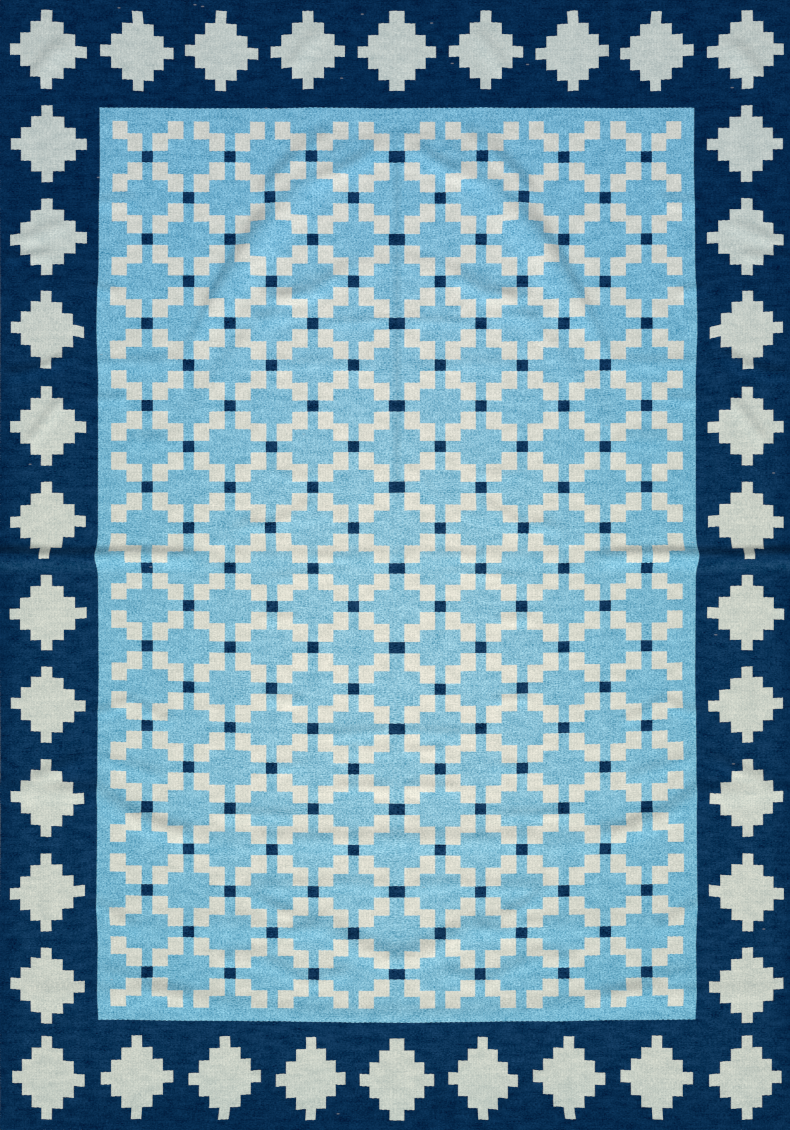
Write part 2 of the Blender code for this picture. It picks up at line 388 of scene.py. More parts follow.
CREASES = (
    # The arch at the head.
    Crease(
        "crown_shoulder", 0.0050, 0.026,
        (
            (0.105, 0.770), (0.130, 0.753), (0.160, 0.735), (0.190, 0.705), (0.220, 0.670),
            (0.245, 0.622),
        ),
        0.2,
    ),
    Crease(
        "crown_fill", 0.0056, 0.030,
        (
            (0.105, 0.744), (0.130, 0.732), (0.160, 0.713), (0.190, 0.690), (0.220, 0.660),
            (0.240, 0.632),
        ),
        0.2,
    ),
    Crease("crown_outrun", 0.0010, 0.020, ((0.372, 0.368), (0.440, 0.352), (0.545, 0.352)), 0.2),
    Crease(
        "crown_peak", 0.0044, 0.022,
        (
            (0.000, 0.738), (0.040, 0.727), (0.070, 0.708), (0.100, 0.687), (0.135, 0.676),
            (0.175, 0.645),
        ),
    ),
    Crease("crown_hollow", -0.0030, 0.026, ((0.050, 0.735), (0.085, 0.724), (0.120, 0.704))),
    Crease(
        "crown_swell", 0.0048, 0.045,
        (
            (0.152, 0.663), (0.191, 0.625), (0.230, 0.579), (0.270, 0.524), (0.310, 0.461),
            (0.345, 0.398),
        ),
        0.2,
    ),
    Crease("crown_spur", 0.0022, 0.024, ((0.172, 0.720), (0.150, 0.810), (0.130, 0.900))),
    # Inside the arch.
    Crease(
        "inner_pleat", 0.0050, 0.020,
        ((0.250, 0.468), (0.190, 0.470), (0.150, 0.476), (0.120, 0.496), (0.090, 0.520)), 0.18,
    ),
    Crease(
        "inner_step", 0.0022, 0.018,
        ((0.300, 0.452), (0.240, 0.430), (0.180, 0.438), (0.150, 0.436)),
    ),
    Crease("inner_line", 0.0024, 0.014, ((0.135, 0.424), (0.070, 0.425), (0.0, 0.430)), 0.2),
    Crease("inner_low", 0.0018, 0.018, ((0.250, 0.345), (0.150, 0.352), (0.0, 0.340))),
    # The fold down the middle, in the head half.
    Crease("seam_head", 0.0016, 0.009, ((0.006, 0.730), (0.006, 0.430), (0.006, 0.150)), 0.1),
    Crease("seam_fork", 0.0018, 0.014, ((0.012, 0.185), (0.042, 0.150), (0.072, 0.100))),
    # The field's sides, in the head half.
    Crease("side_band", 0.0026, 0.022, ((0.375, 0.215), (0.430, 0.217), (0.490, 0.218))),
    Crease("side_nick", 0.0036, 0.016, ((0.552, 0.487), (0.520, 0.484), (0.490, 0.478)), 0.15),
    Crease("side_rise", 0.0026, 0.020, ((0.552, 0.634), (0.500, 0.637), (0.450, 0.642)), 0.2),
    Crease("side_low", 0.0026, 0.016, ((0.550, 0.290), (0.515, 0.288), (0.470, 0.291)), 0.2),
    # About the middle crease.
    Crease(
        "ripple_side", 0.0032, 0.018,
        (
            (0.300, 0.050), (0.262, 0.070), (0.220, 0.071), (0.190, 0.084), (0.165, 0.098),
            (0.130, 0.112),
        ),
        0.2,
    ),
    Crease("middle_gap", -0.0050, 0.026, ((0.372, 0.014), (0.275, 0.014)), 0.25),
    Crease("middle_pinch", 0.0016, 0.016, ((0.170, 0.012), (0.120, 0.013), (0.070, 0.008))),
    Crease(
        "ripple_mid", 0.0016, 0.016,
        ((0.215, 0.055), (0.175, 0.075), (0.125, 0.088), (0.085, 0.072)),
    ),
    Crease("ripple_back", 0.0018, 0.018, ((0.250, 0.175), (0.190, 0.155), (0.110, 0.150))),
    Crease("under_crease", 0.0018, 0.016, ((0.250, -0.030), (0.160, -0.020), (0.060, -0.012))),
    Crease("under_dart", 0.0026, 0.016, ((0.250, -0.094), (0.205, -0.099), (0.165, -0.102)), 0.2),
    # The swag across the foot half, and the creases over it.
    Crease("border_low", 0.0050, 0.022, ((0.670, -0.395), (0.600, -0.365), (0.530, -0.330))),
    Crease(
        "side_swag", 0.0036, 0.020,
        ((0.545, -0.335), (0.490, -0.350), (0.440, -0.368), (0.390, -0.385)),
    ),
    Crease(
        "side_ripple", 0.0036, 0.016,
        (
            (0.548, -0.266), (0.515, -0.263), (0.490, -0.254), (0.468, -0.244), (0.430, -0.266),
            (0.388, -0.284),
        ),
        0.12,
    ),
    Crease("mid_ripple", 0.0030, 0.016, ((0.160, -0.303), (0.100, -0.303), (0.0, -0.296)), 0.2),
    Crease("mid_echo", 0.0022, 0.016, ((0.090, -0.330), (0.040, -0.333), (0.0, -0.334)), 0.2),
    Crease("swag_dart", 0.0022, 0.016, ((0.235, -0.366), (0.195, -0.358), (0.150, -0.356))),
    Crease("mid_pick", 0.0034, 0.015, ((0.245, -0.239), (0.210, -0.241), (0.160, -0.243)), 0.2),
    Crease("swag_gap", -0.0050, 0.026, ((0.376, -0.475), (0.330, -0.480), (0.238, -0.487)), 0.2),
    Crease(
        "swag_over", 0.0036, 0.015,
        ((0.335, -0.444), (0.280, -0.446), (0.220, -0.444), (0.150, -0.447)),
    ),
    Crease("swag_mid", 0.0040, 0.018, ((0.120, -0.395), (0.050, -0.396), (0.0, -0.400)), 0.2),
    # Below the swag.
    Crease(
        "lap_side", 0.0058, 0.018,
        ((0.262, -0.580), (0.245, -0.590), (0.220, -0.607), (0.180, -0.622)), 0.15,
    ),
    Crease(
        "lap_bow", 0.0034, 0.018,
        ((0.285, -0.572), (0.142, -0.572), (0.102, -0.566), (0.0, -0.572)), 0.1,
    ),
    Crease("vee_wing", 0.0036, 0.018, ((0.212, -0.655), (0.160, -0.645), (0.125, -0.640))),
    Crease("wing_line", 0.0022, 0.014, ((0.296, -0.684), (0.250, -0.684), (0.210, -0.688))),
    Crease(
        "foot_wing", 0.0048, 0.022,
        (
            (0.330, -0.698), (0.290, -0.699), (0.244, -0.700), (0.205, -0.714), (0.175, -0.732),
            (0.150, -0.742), (0.115, -0.727), (0.070, -0.720),
        ),
        0.12,
    ),
    Crease(
        "foot_side", 0.0034, 0.022,
        (
            (0.535, -0.722), (0.490, -0.725), (0.460, -0.736), (0.430, -0.752), (0.378, -0.762),
            (0.340, -0.765),
        ),
        0.2,
    ),
    Crease(
        "side_tuck", 0.0040, 0.020,
        ((0.552, -0.600), (0.520, -0.607), (0.490, -0.625), (0.450, -0.649)), 0.15,
    ),
    Crease("foot_run", 0.0030, 0.020, ((0.270, -0.880), (0.222, -0.930), (0.160, -0.990)), 0.2),
    Crease("foot_fan", 0.0030, 0.016, ((0.128, -0.860), (0.090, -0.930), (0.065, -1.000)), 0.2),
    # The borders.
    Crease("corner_head", 0.0050, 0.026, ((0.662, 0.825), (0.615, 0.890), (0.575, 0.935))),
    Crease("border_head", 0.0030, 0.020, ((0.680, 0.560), (0.620, 0.585), (0.570, 0.605))),
    Crease("border_rise", 0.0046, 0.019, ((0.660, 0.195), (0.612, 0.262), (0.572, 0.310))),
    Crease(
        "border_line", 0.0058, 0.018,
        ((0.702, 0.331), (0.660, 0.333), (0.610, 0.349), (0.560, 0.382)), 0.2,
    ),
    Crease("border_knee", 0.0036, 0.018, ((0.702, 0.534), (0.650, 0.537), (0.600, 0.545)), 0.2),
    Crease("head_line_out", 0.0018, 0.012, ((0.366, 0.810), (0.364, 0.905), (0.366, 1.000)), 0.15),
    Crease("head_line_in", 0.0018, 0.012, ((0.316, 0.810), (0.314, 0.905), (0.316, 1.000)), 0.15),
    Crease("head_slant", 0.0036, 0.022, ((0.202, 0.850), (0.165, 0.905), (0.132, 0.950))),
)


@dataclass(frozen=True)
class ClothRelief:
    """How high the cloth stands off the floor."""

    fold_wander: float = 0.0035
    fold_wander_scale: float = 9.0
    fold_wander_layer: float = 2.5
    cockle: float = 0.0009
    # Small uneven waves: how many across and along to the metre, and their share of the height.
    cockle_waves: tuple[tuple[float, float, float], ...] = (
        (5.0, 8.0, 1.0), (12.0, 21.0, 0.45), (28.0, 46.0, 0.20),
    )
    mirror_soft: float = 0.012

    def noise_over(
        self, x: np.ndarray, y: np.ndarray, scales: tuple[float, float], layer: float
    ) -> np.ndarray:
        """Soft noise from -1 to 1 that is alike on both sides of the centre line."""
        side = np.sqrt(x * x + self.mirror_soft**2)
        points = np.stack((side * scales[0], y * scales[1]), axis=-1).reshape(-1, 2)
        values = [noise.noise(Vector((across, along, layer))) for across, along in points]
        return np.array(values).reshape(x.shape)

    def lift(self, x: np.ndarray, y: np.ndarray) -> np.ndarray:
        """Height of the cloth's underside over the floor."""
        wander_scales = (self.fold_wander_scale, self.fold_wander_scale)
        wandered = y + self.fold_wander * self.noise_over(
            x, y, wander_scales, self.fold_wander_layer
        )
        height = sum(fold.lift(x, wandered) for fold in FOLDS)
        height = height + sum(crease.lift(x, wandered) for crease in CREASES)
        for layer, (waves_across, waves_along, share) in enumerate(self.cockle_waves):
            waves = self.noise_over(x, y, (waves_across, waves_along), layer)
            height = height + self.cockle * share * (1.0 + waves)
        return height


# ======================================================================= the cloth
@dataclass(frozen=True)
class LipRing:
    """One line round the rug's edge: how far in from the edge, and how high over the underside."""

    inset: float
    height: float


@dataclass
class DhurrieCloth:
    """The woven cloth: one closed sheet with a corded edge."""

    hand: WeaversHand
    relief: ClothRelief
    name: str = "dhurrie_flatweave"
    thickness: float = 0.004
    columns: int = 244
    rows: int = 348
    # The underside, which mostly lies on the floor, has one face for this many of the top's.
    coarse: int = 4
    # Rows lie closer together within this distance of the middle crease, by this share at most.
    crease_reach: float = 0.045
    crease_crowding: float = 0.75
    crowding_samples: int = 4001
    bake_margin: float = 1.004
    rings: tuple[LipRing, ...] = (
        LipRing(0.0064, 0.0040),
        LipRing(0.0044, 0.0037),
        LipRing(0.0024, 0.0044),
        LipRing(0.0006, 0.0034),
        LipRing(0.0000, 0.0021),
        LipRing(0.0007, 0.0007),
        LipRing(0.0024, 0.0000),
    )
    vertices: list[tuple[float, float, float]] = field(default_factory=list)
    chart_places: list[tuple[float, float]] = field(default_factory=list)
    faces: list[tuple[int, ...]] = field(default_factory=list)
    bake_places: list[tuple[float, float]] = field(default_factory=list)

    def half_sizes(self) -> tuple[float, float]:
        """Half the width and half the length of the rug on the chart."""
        return self.hand.half_across(), self.hand.outline.length / 2

    def chart_lines(self) -> tuple[np.ndarray, np.ndarray]:
        """The chart places of the top's columns and rows, which crowd at the middle crease."""
        half_across, half_along = (half - self.rings[0].inset for half in self.half_sizes())
        across = np.linspace(-half_across, half_across, self.columns + 1)
        fine = np.linspace(-half_along, half_along, self.crowding_samples)
        off_crease = (fine - self.hand.outline.crease_along) / self.crease_reach
        density = 1.0 + self.crease_crowding * np.exp(-(off_crease**2))
        reached = np.concatenate(([0.0], np.cumsum((density[1:] + density[:-1]) / 2)))
        along = np.interp(np.linspace(0.0, reached[-1], self.rows + 1), reached, fine)
        return across, along

    def add_points(self, across: np.ndarray, along: np.ndarray, height: float) -> list[int]:
        """Adds points of the cloth at some chart places.

        Args:
            across: the places across the chart.
            along: the places along the chart.
            height: how far above the cloth's underside the points lie.

        Returns:
            The numbers of the new points.
        """
        x, y = self.hand.place(across, along)
        z = self.relief.lift(x, y) + height
        first = len(self.vertices)
        self.vertices.extend(zip(x.tolist(), y.tolist(), z.tolist()))
        self.chart_places.extend(zip(across.tolist(), along.tolist()))
        return list(range(first, len(self.vertices)))

    def add_face(self, corners: list[int]) -> None:
        """Adds one face, whose corners lie on the unrolled cloth where they do on the chart."""
        self.faces.append(tuple(corners))
        self.bake_places.extend(self.chart_places[corner] for corner in corners)

    def build_top(self) -> np.ndarray:
        """Adds the top of the cloth, and returns its points by row and column."""
        across, along = self.chart_lines()
        grid_across, grid_along = np.meshgrid(across, along)
        numbers = self.add_points(grid_across.ravel(), grid_along.ravel(), self.thickness)
        grid = np.array(numbers).reshape(self.rows + 1, self.columns + 1)
        for row in range(self.rows):
            low, high = grid[row].tolist(), grid[row + 1].tolist()
            for column in range(self.columns):
                self.add_face([low[column], low[column + 1], high[column + 1], high[column]])
        return grid

    def rim_of(self, grid: np.ndarray) -> list[int]:
        """The numbers round the rim of a grid, counted from its first corner."""
        return [
            *grid[0, :-1].tolist(), *grid[:-1, -1].tolist(),
            *grid[-1, :0:-1].tolist(), *grid[:0:-1, 0].tolist(),
        ]

    def ring_places(self, rim: list[int], outset: float) -> tuple[np.ndarray, np.ndarray]:
        """The chart places of a line round the rug, that far outside the top's rim."""
        places = np.array([self.chart_places[number] for number in rim])
        half_across, half_along = (half - self.rings[0].inset for half in self.half_sizes())
        return (
            places[:, 0] * (half_across + outset) / half_across,
            places[:, 1] * (half_along + outset) / half_along,
        )

    def build_lip(self, rim: list[int]) -> list[int]:
        """Adds the corded edge outside the top's rim, and returns its last line of points."""
        before, before_places = rim, [self.chart_places[number] for number in rim]
        unrolled = 0.0
        for last, ring in zip(self.rings, self.rings[1:]):
            unrolled += math.hypot(ring.inset - last.inset, ring.height - last.height)
            across, along = self.ring_places(rim, self.rings[0].inset - ring.inset)
            numbers = self.add_points(across, along, ring.height)
            places = list(zip(*(line.tolist() for line in self.ring_places(rim, unrolled))))
            for here in range(len(rim)):
                after = (here + 1) % len(rim)
                self.faces.append((before[here], numbers[here], numbers[after], before[after]))
                self.bake_places.extend(
                    (before_places[here], places[here], places[after], before_places[after])
                )
            before, before_places = numbers, places
        return before

    def build_underside(self, rim: list[int]) -> None:
        """Adds the underside: large faces, of which the outer ones take in the rim's points."""
        across, along = self.chart_lines()
        step = self.coarse
        inner_across, inner_along = across[step:-1:step], along[step:-1:step]
        grid_across, grid_along = np.meshgrid(inner_across, inner_along)
        numbers = self.add_points(grid_across.ravel(), grid_along.ravel(), 0.0)
        inner = np.array(numbers).reshape(len(inner_along), len(inner_across))
        columns, rows = self.columns, self.rows

        def point(column: int, row: int) -> int:
            """The point of the underside at a column and row of the top's grid."""
            if row == 0:
                return rim[column]
            if column == columns:
                return rim[columns + row]
            if row == rows:
                return rim[2 * columns + rows - column]
            if column == 0:
                return rim[(2 * columns + 2 * rows - row) % len(rim)]
            return int(inner[row // step - 1, column // step - 1])

        for row in range(0, rows, step):
            for column in range(0, columns, step):
                left, right, low, high = column, column + step, row, row + step
                walk = range(1, step)
                corners = [point(left, low)]
                corners += [point(left, low + k) for k in walk if left == 0]
                corners += [point(left, high)]
                corners += [point(left + k, high) for k in walk if high == rows]
                corners += [point(right, high)]
                corners += [point(right, high - k) for k in walk if right == columns]
                corners += [point(right, low)]
                corners += [point(right - k, low) for k in walk if low == 0]
                self.add_face(corners)

    def lay_maps(self, mesh: bpy.types.Mesh) -> None:
        """Gives the mesh its two maps: the loom's chart, and the unrolled cloth."""
        corner_points = np.empty(len(mesh.loops), np.int32)
        mesh.loops.foreach_get("vertex_index", corner_points)
        chart_map = mesh.uv_layers.new(name="LoomChart")
        chart_map.data.foreach_set("uv", np.array(self.chart_places)[corner_points].ravel())
        unrolled = np.array(self.bake_places)
        reach = np.abs(unrolled).max(axis=0) * self.bake_margin
        bake_map = mesh.uv_layers.new(name="OFBake")
        bake_map.data.foreach_set("uv", (0.5 + 0.5 * unrolled / reach).ravel())
        mesh.uv_layers.active = bake_map

    def build(self, finish: bpy.types.Material) -> bpy.types.Object:
        """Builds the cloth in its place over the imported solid, and dresses it.

        Args:
            finish: the cloth's material.

        Returns:
            The finished piece.
        """
        grid = self.build_top()
        self.build_underside(self.build_lip(self.rim_of(grid)))
        mesh = bpy.data.meshes.new(self.name)
        mesh.from_pydata(self.vertices, [], self.faces)
        self.lay_maps(mesh)
        mesh.materials.append(finish)
        mesh.shade_smooth()
        mesh.validate()
        cloth = bpy.data.objects.new(self.name, mesh)
        bpy.context.scene.collection.objects.link(cloth)
        return cloth


# ======================================================================= node wiring
class Signal:
    """A number that runs through a node tree, and can be reckoned with like a plain one."""

    def __init__(self, bench: Bench, socket: bpy.types.NodeSocket) -> None:
        """Keeps the socket that the number comes out of."""
        self.bench = bench
        self.socket = socket

    def __add__(self, other: Operand) -> Signal:
        """This number plus another."""
        return self.bench.math("ADD", self, other)

    def __sub__(self, other: Operand) -> Signal:
        """This number less another."""
        return self.bench.math("SUBTRACT", self, other)

    def __rsub__(self, other: float) -> Signal:
        """A plain number less this one."""
        return self.bench.math("SUBTRACT", other, self)

    def __mul__(self, other: Operand) -> Signal:
        """This number times another."""
        return self.bench.math("MULTIPLY", self, other)

    def __truediv__(self, other: Operand) -> Signal:
        """This number divided by another."""
        return self.bench.math("DIVIDE", self, other)

    def __abs__(self) -> Signal:
        """This number without its sign."""
        return self.bench.math("ABSOLUTE", self)

    def above(self, limit: Operand) -> Signal:
        """1 where this number is above the limit, else 0."""
        return self.bench.math("GREATER_THAN", self, limit)

    def below(self, limit: Operand) -> Signal:
        """1 where this number is below the limit, else 0."""
        return self.bench.math("LESS_THAN", self, limit)

    def floor(self) -> Signal:
        """The whole number at or below this one."""
        return self.bench.math("FLOOR", self)

    def nearest(self) -> Signal:
        """The nearest whole number."""
        return self.bench.math("ROUND", self)

    def fraction(self) -> Signal:
        """What is left of this number over its floor."""
        return self.bench.math("FRACT", self)

    def cosine(self) -> Signal:
        """The cosine of this number, in radians."""
        return self.bench.math("COSINE", self)


class Bench:
    """Places and wires the nodes of one tree."""

    NODES_A_ROW = 16
    NODE_WIDTH = 190
    NODE_HEIGHT = 230

    def __init__(self, tree: bpy.types.NodeTree) -> None:
        """Starts on a tree."""
        self.tree = tree
        self.placed = 0

    def node(self, kind: str, **settings: object) -> bpy.types.Node:
        """Adds a node.

        Args:
            kind: the node's type.
            **settings: values for the node's own properties.

        Returns:
            The node, placed after the ones before it.
        """
        node = self.tree.nodes.new(kind)
        for name, value in settings.items():
            setattr(node, name, value)
        column, row = self.placed % self.NODES_A_ROW, self.placed // self.NODES_A_ROW
        node.location = (self.NODE_WIDTH * column, -self.NODE_HEIGHT * row)
        self.placed += 1
        return node

    def feed(self, socket: bpy.types.NodeSocket, value: object) -> None:
        """Links a signal to a socket, or sets the socket to a plain value."""
        if isinstance(value, Signal):
            self.tree.links.new(value.socket, socket)
        elif isinstance(value, tuple) and len(value) == 3 and socket.type == "RGBA":
            socket.default_value = (*value, 1.0)
        else:
            socket.default_value = value

    def math(self, operation: str, *operands: Operand) -> Signal:
        """The result of one Math node."""
        node = self.node("ShaderNodeMath", operation=operation)
        for socket, operand in zip(node.inputs, operands):
            self.feed(socket, operand)
        return Signal(self, node.outputs[0])

    def mix(self, share: Operand, first: Operand, second: Operand) -> Signal:
        """A number that goes from first to second as share goes from 0 to 1."""
        node = self.node("ShaderNodeMix", data_type="FLOAT")
        for place, value in ((0, share), (2, first), (3, second)):
            self.feed(node.inputs[place], value)
        return Signal(self, node.outputs[0])

    def mix_colour(
        self, share: Operand, first: object, second: object, blend: str = "MIX"
    ) -> Signal:
        """A colour that goes from first to second, or to their blend, as share goes from 0 to 1."""
        node = self.node("ShaderNodeMix", data_type="RGBA", blend_type=blend)
        for place, value in ((0, share), (6, first), (7, second)):
            self.feed(node.inputs[place], value)
        return Signal(self, node.outputs[2])

    def smooth(self, value: Signal, start: float, end: float) -> Signal:
        """0 up to start and 1 from end on, with a soft rise between."""
        node = self.node("ShaderNodeMapRange", interpolation_type="SMOOTHSTEP")
        for socket, number in zip(node.inputs, (value, start, end, 0.0, 1.0)):
            self.feed(socket, number)
        return Signal(self, node.outputs[0])

    def join(self, x: Operand, y: Operand, z: Operand = 0.0) -> Signal:
        """A vector made of three numbers."""
        node = self.node("ShaderNodeCombineXYZ")
        for socket, value in zip(node.inputs, (x, y, z)):
            self.feed(socket, value)
        return Signal(self, node.outputs[0])

    def split(self, colour: Signal) -> tuple[Signal, Signal, Signal]:
        """The three numbers of a colour."""
        node = self.node("ShaderNodeSeparateColor")
        self.feed(node.inputs[0], colour)
        return tuple(Signal(self, output) for output in node.outputs)

    def cloud(self, x: Operand, y: Operand, detail: float = 1.0, rough: float = 0.5) -> Signal:
        """Soft noise from 0 to 1 over a plane."""
        node = self.node("ShaderNodeTexNoise", noise_dimensions="2D")
        self.feed(node.inputs["Vector"], self.join(x, y))
        self.feed(node.inputs["Scale"], 1.0)
        self.feed(node.inputs["Detail"], detail)
        self.feed(node.inputs["Roughness"], rough)
        return Signal(self, node.outputs[0])

    def dice(self, x: Operand, y: Operand) -> Signal:
        """A number from 0 to 1 that is drawn anew for each pair of numbers."""
        node = self.node("ShaderNodeTexWhiteNoise", noise_dimensions="2D")
        self.feed(node.inputs["Vector"], self.join(x, y))
        return Signal(self, node.outputs["Value"])

    def use(self, group: bpy.types.ShaderNodeTree, **values: object) -> dict[str, Signal]:
        """Places a node group.

        Args:
            group: the group's tree.
            **values: a signal or value for each input, named with _ for a space.

        Returns:
            The group's outputs by name.
        """
        node = self.node("ShaderNodeGroup", node_tree=group)
        for name, value in values.items():
            self.feed(node.inputs[name.replace("_", " ")], value)
        return {output.name: Signal(self, output) for output in node.outputs}


class SocketKind(Enum):
    """What a group's socket carries."""

    NUMBER = "NodeSocketFloat"
    COLOUR = "NodeSocketColor"


class EffectGroup:
    """A shader node group under construction."""

    def __init__(
        self, name: str, takes: dict[str, SocketKind], gives: dict[str, SocketKind]
    ) -> None:
        """Makes the group's tree with its named sockets.

        Args:
            name: the group's name.
            takes: the kind of each input.
            gives: the kind of each output.
        """
        self.tree = bpy.data.node_groups.new(name, "ShaderNodeTree")
        for socket_name, kind in takes.items():
            self.tree.interface.new_socket(socket_name, in_out="INPUT", socket_type=kind.value)
        for socket_name, kind in gives.items():
            self.tree.interface.new_socket(socket_name, in_out="OUTPUT", socket_type=kind.value)
        self.bench = Bench(self.tree)
        entry = self.bench.node("NodeGroupInput")
        self.taken = {
            output.name: Signal(self.bench, output) for output in entry.outputs if output.name
        }

    def give(self, **values: Signal) -> bpy.types.ShaderNodeTree:
        """Wires the outputs, named with _ for a space, and returns the finished tree."""
        leave = self.bench.node("NodeGroupOutput")
        for name, value in values.items():
            self.bench.feed(leave.inputs[name.replace("_", " ")], value)
        return self.tree


# ======================================================================= effects of the weave
@dataclass(frozen=True)
class WovenBeads:
    """Finds the rib and the bead of yarn at each place on the chart."""

    interlock: float = 0.13
    # How much of a bead's length shows where a yarn ends: beads packed tight hide most of it.
    stepping: float = 0.40
    wander: float = 0.0012
    wander_scale: float = 12.0

    def build(self) -> bpy.types.ShaderNodeTree:
        """Builds the group. Beads of one rib lie half a bead off those of the next."""
        number = SocketKind.NUMBER
        group = EffectGroup(
            "woven_beads",
            {"Across": number, "Along": number, "Rib": number, "Bead": number},
            {
                "Rib Number": number, "Bead Number": number, "Rib Phase": number,
                "Bead Phase": number, "Ribs": number, "Beaten Along": number,
            },
        )
        bench, taken = group.bench, group.taken
        cloud = bench.cloud(taken["Across"] * self.wander_scale, taken["Along"] * self.wander_scale)
        along = taken["Along"] + (cloud - 0.5) * (2.0 * self.wander)
        ribs, beads = taken["Across"] / taken["Rib"], along / taken["Bead"]
        push = (ribs * math.pi).cosine() * (beads * (2.0 * math.pi)).cosine() * self.interlock
        ribs = ribs - push
        rib_number = ribs.floor()
        half = (rib_number * 0.5).fraction()
        beads = beads + half
        bead_number = beads.floor()
        return group.give(
            Rib_Number=rib_number,
            Bead_Number=bead_number,
            Rib_Phase=ribs - rib_number - 0.5,
            Bead_Phase=beads - bead_number - 0.5,
            Ribs=ribs,
            Beaten_Along=bench.mix(
                self.stepping, along, (bead_number + 0.5 - half) * taken["Bead"]
            ),
        )


@dataclass(frozen=True)
class SteppedDiamond:
    """Draws a diamond whose sides go in equal steps."""

    def build(self) -> bpy.types.ShaderNodeTree:
        """Builds the group. Off Across and Off Along are measured from the diamond's middle."""
        number = SocketKind.NUMBER
        group = EffectGroup(
            "stepped_diamond",
            {
                "Off Across": number, "Off Along": number, "Steps": number,
                "Step Across": number, "Step Along": number,
            },
            {"Mask": number},
        )
        taken = group.taken
        step = (abs(taken["Off Along"]) / taken["Step Along"]).nearest()
        reach = (taken["Steps"] - step) * taken["Step Across"]
        return group.give(Mask=abs(taken["Off Across"]).below(reach))


@dataclass(frozen=True)
class DiagonalLattice:
    """Draws the field's lattice: knots, joined along both diagonals by stairs of two blocks."""

    chart: LoomChart

    def build(self) -> bpy.types.ShaderNodeTree:
        """Builds the group, which folds each cell of the lattice on its middles."""
        number = SocketKind.NUMBER
        group = EffectGroup(
            "diagonal_lattice", {"Ribs": number, "Along": number}, {"Knot": number, "Stair": number}
        )
        bench, taken, chart = group.bench, group.taken, self.chart
        quarters = {"Ribs": chart.quarter_ribs, "Along": chart.quarter_along}
        ribs, along = (
            abs((taken[name] / (2.0 * quarter) + 0.5).fraction() - 0.5) * (2.0 * quarter)
            for name, quarter in quarters.items()
        )
        far = ribs.above(chart.quarter_ribs / 2)
        ribs = bench.mix(far, ribs, chart.quarter_ribs - ribs)
        along = bench.mix(far, along, chart.quarter_along - along)
        inside = abs(taken["Ribs"]).below(chart.lattice_ribs)
        inside = inside * abs(taken["Along"]).below(chart.lattice_along)
        # The lattice ends on the stairs, so a knot has to lie well inside its edge.
        knot = ribs.below(chart.knot_ribs) * along.below(chart.knot_along)
        knot = knot * abs(taken["Ribs"]).below(chart.lattice_ribs - chart.stair_ribs)
        knot = knot * abs(taken["Along"]).below(chart.lattice_along - chart.knot_along)
        stair = ribs.above(chart.stair_ribs) * along.above(chart.knot_along)
        stair = stair * along.below(chart.stair_along)
        return group.give(Knot=knot, Stair=stair * inside)


@dataclass(frozen=True)
class YarnTone:
    """Makes a flat dye look spun and woven: its tone changes by bead, fibre and pick."""

    fibre_across: float = 330.0
    fibre_along: float = 560.0
    fibre_detail: float = 2.5
    strands_a_rib: float = 2.0
    streak_across: float = 26.0
    pick_jump: float = 7.31
    patch_across: float = 38.0
    patch_along: float = 70.0
    patch_detail: float = 2.0
    least_tone: float = 0.1

    def build(self) -> bpy.types.ShaderNodeTree:
        """Builds the group.

        Spread holds how far the tone strays by bead, by fibre and by pick and patch. Contrast
        holds how much of that straying each channel of the colour takes.

        Returns:
            The group's node tree.
        """
        number, colour = SocketKind.NUMBER, SocketKind.COLOUR
        group = EffectGroup(
            "yarn_tone",
            {
                "Colour": colour, "Spread": colour, "Contrast": colour, "Rib Number": number,
                "Bead Number": number, "Rib Phase": number, "Across": number, "Along": number,
            },
            {"Colour": colour},
        )
        bench, taken = group.bench, group.taken
        by_bead, by_fibre, by_pick = bench.split(taken["Spread"])
        strand = ((taken["Rib Number"] + taken["Rib Phase"]) * self.strands_a_rib).floor()
        bead = bench.dice(strand, taken["Bead Number"]) - 0.5
        fibre = bench.cloud(
            taken["Across"] * self.fibre_across,
            taken["Along"] * self.fibre_along,
            self.fibre_detail,
        )
        half = (taken["Rib Number"] * 0.5).fraction()
        pick = (taken["Bead Number"] - half) * self.pick_jump
        streak = bench.cloud(taken["Across"] * self.streak_across, pick, 1.0)
        patch = bench.cloud(
            taken["Across"] * self.patch_across, taken["Along"] * self.patch_along, self.patch_detail
        )
        stray = bead * by_bead + (fibre - 0.5) * by_fibre + (streak + patch - 1.0) * by_pick
        tones = (
            bench.math("MAXIMUM", stray * contrast * 2.0 + 1.0, self.least_tone)
            for contrast in bench.split(taken["Contrast"])
        )
        return group.give(
            Colour=bench.mix_colour(1.0, taken["Colour"], bench.join(*tones), "MULTIPLY")
        )


@dataclass(frozen=True)
class WeaveRelief:
    """Raises the ribs and the beads that lie on them."""

    bead_share: float = 0.45
    fuzz: float = 0.16
    fuzz_scale: float = 1500.0
    groove_reach: float = 0.55

    def build(self) -> bpy.types.ShaderNodeTree:
        """Builds the group. Height goes from 0 in the grooves to about 1 on a bead's crown."""
        number = SocketKind.NUMBER
        group = EffectGroup(
            "weave_relief",
            {"Rib Phase": number, "Bead Phase": number, "Across": number, "Along": number},
            {"Height": number, "Groove": number},
        )
        bench, taken = group.bench, group.taken
        rib = (taken["Rib Phase"] * math.pi).cosine()
        bead = (taken["Bead Phase"] * math.pi).cosine()
        crown = rib * (bead * self.bead_share + (1.0 - self.bead_share))
        fuzz = bench.cloud(
            taken["Across"] * self.fuzz_scale, taken["Along"] * self.fuzz_scale, 2.0
        )
        return group.give(
            Height=crown + fuzz * self.fuzz,
            Groove=1.0 - bench.smooth(crown, 0.0, self.groove_reach),
        )


